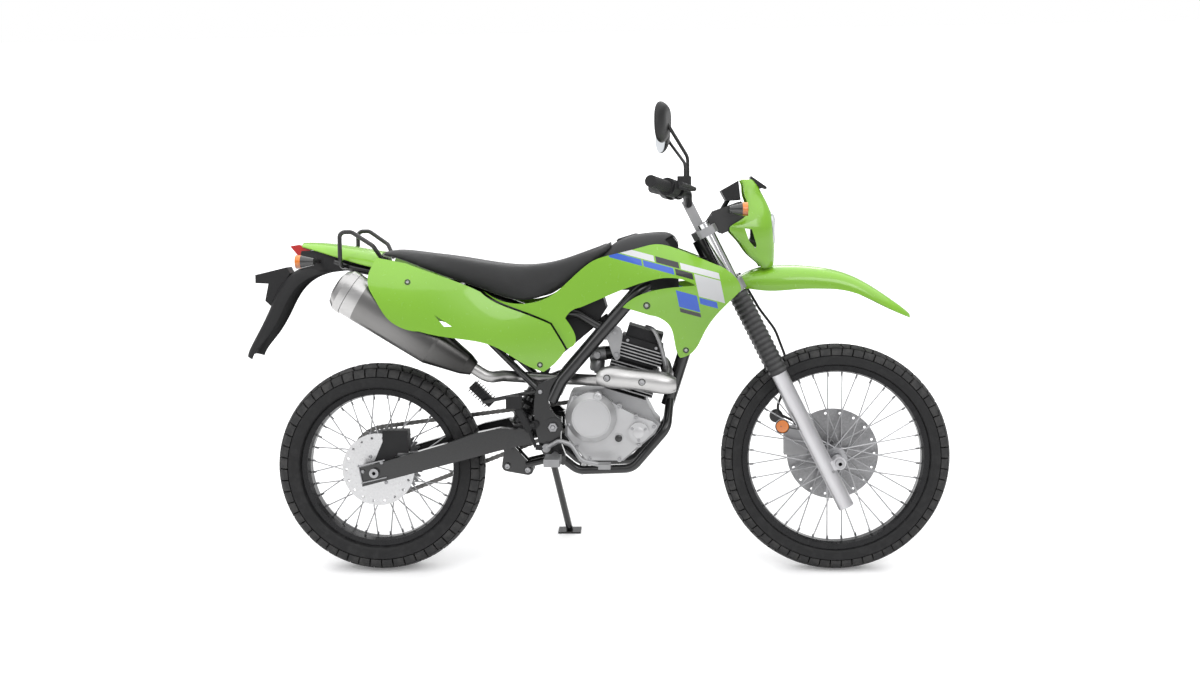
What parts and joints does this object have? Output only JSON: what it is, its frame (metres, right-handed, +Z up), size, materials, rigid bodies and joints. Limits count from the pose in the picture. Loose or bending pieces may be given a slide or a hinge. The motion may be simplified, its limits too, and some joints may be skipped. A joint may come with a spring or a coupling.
{
  "type": "dual sport motorcycle",
  "caption": "Dual sport motorcycle with a long seat, spoked wheels, high mudguards, gaitered fork and side exhaust, parked leaning on its side stand.",
  "frame": {"origin": "middle of the bounding box's bottom face, on the ground, with the machine leaning 9 degrees on its side stand", "axes": "+X towards the front wheel, +Y towards the machine's left, the side it leans to, +Z up from the ground"},
  "size_m": [2.1204, 0.8234, 1.4189],
  "materials": {
    "tyre_rubber": "matt black moulded rubber",
    "rim_black": "black anodised rim",
    "hub_metal": "cast hub with bright steel spokes",
    "disc_steel": "ground steel",
    "axle_steel": "zinc plated steel",
    "frame_paint": "semi gloss black paint",
    "stand_paint": "semi gloss black paint",
    "alloy_cast": "silver cast alloy",
    "clamp_alloy": "grey cast alloy",
    "lever_alloy": "bright forged alloy",
    "case_grey": "grey painted castings",
    "cover_black": "black painted castings",
    "spring_paint": "dark painted spring",
    "exhaust_steel": "satin stainless steel",
    "shield_steel": "satin stainless steel",
    "plastic_green": "glossy moulded plastic",
    "plastic_black": "grained black plastic",
    "seat_cover": "black vinyl seat cover",
    "boot_rubber": "black rubber",
    "fork_chrome": "hard chromed tube",
    "slider_silver": "silver painted casting",
    "bar_black": "black powder coat",
    "lamp_lens": "clear lens over a bright reflector",
    "rear_lens": "red and amber lenses",
    "amber_lens": "amber lens on a black stalk",
    "chain_steel": "oiled steel"
  },
  "bodies": {
    "chassis": {"frame": "frame_paint", "subframe": "frame_paint", "swingarm": "stand_paint", "shock": "spring_paint", "engine_case": "case_grey", "clutch_cover": "alloy_cast", "cylinder": "alloy_cast", "cylinder_head": "alloy_cast", "air_box": "plastic_black", "exhaust_header": "exhaust_steel", "heat_shield": "shield_steel", "muffler": "exhaust_steel", "tank_cover": "plastic_black", "fuel_tank": "cover_black", "seat": "seat_cover", "side_cover_right": "plastic_green", "side_cover_left": "plastic_green", "shroud_right": "plastic_green", "shroud_left": "plastic_green", "tail_fender": "plastic_green", "rear_mudguard": "plastic_black", "rear_lamps": "rear_lens", "grab_rails": "bar_black", "foot_controls": "lever_alloy", "rear_brake": "cover_black", "chain": "chain_steel", "rear_axle": "axle_steel", "head_bracket": "lever_alloy", "regulator": "cover_black", "fuel_cap": "plastic_black"},
    "steering": {"triple_clamps": "clamp_alloy", "fork_tubes": "fork_chrome", "fork_sliders": "slider_silver", "fork_boots": "boot_rubber", "handlebar": "bar_black", "hand_controls": "boot_rubber", "mirrors": "plastic_black", "headlight_cowl": "plastic_green", "headlight": "lamp_lens", "instrument": "plastic_black", "front_indicators": "amber_lens", "front_fender": "plastic_green", "front_caliper": "cover_black", "front_brake_hose": "boot_rubber", "front_axle": "axle_steel", "cowl_lip": "plastic_black"},
    "front_wheel": {"front_tyre": "tyre_rubber", "front_rim": "rim_black", "front_hub": "hub_metal", "front_disc": "disc_steel"},
    "rear_wheel": {"rear_tyre": "tyre_rubber", "rear_rim": "rim_black", "rear_hub": "hub_metal", "rear_disc": "disc_steel", "rear_sprocket": "disc_steel"},
    "side_stand": {"side_stand": "stand_paint"}
  },
  "joints": [
    {"name": "steering", "type": "hinge", "parent": "chassis", "child": "steering", "pos_m": [0.65993, -0.13256, 0.31267], "axis": [-0.4462, 0.14, 0.8839], "range_deg": [-42, 42]},
    {"name": "front_wheel_spin", "type": "hinge", "parent": "steering", "child": "front_wheel", "pos_m": [0.7172, -0.1281, 0.34088], "axis": [0, 0.9877, -0.1564], "continuous": true},
    {"name": "rear_wheel_spin", "type": "hinge", "parent": "chassis", "child": "rear_wheel", "pos_m": [-0.6628, -0.13201, 0.31619], "axis": [0, 0.9877, -0.1564], "continuous": true},
    {"name": "side_stand_pivot", "type": "hinge", "parent": "chassis", "child": "side_stand", "pos_m": [-0.15266, -0.00958, 0.30929], "axis": [0.1685, 0.9096, 0.3798], "range_deg": [0, 99]}
  ]
}
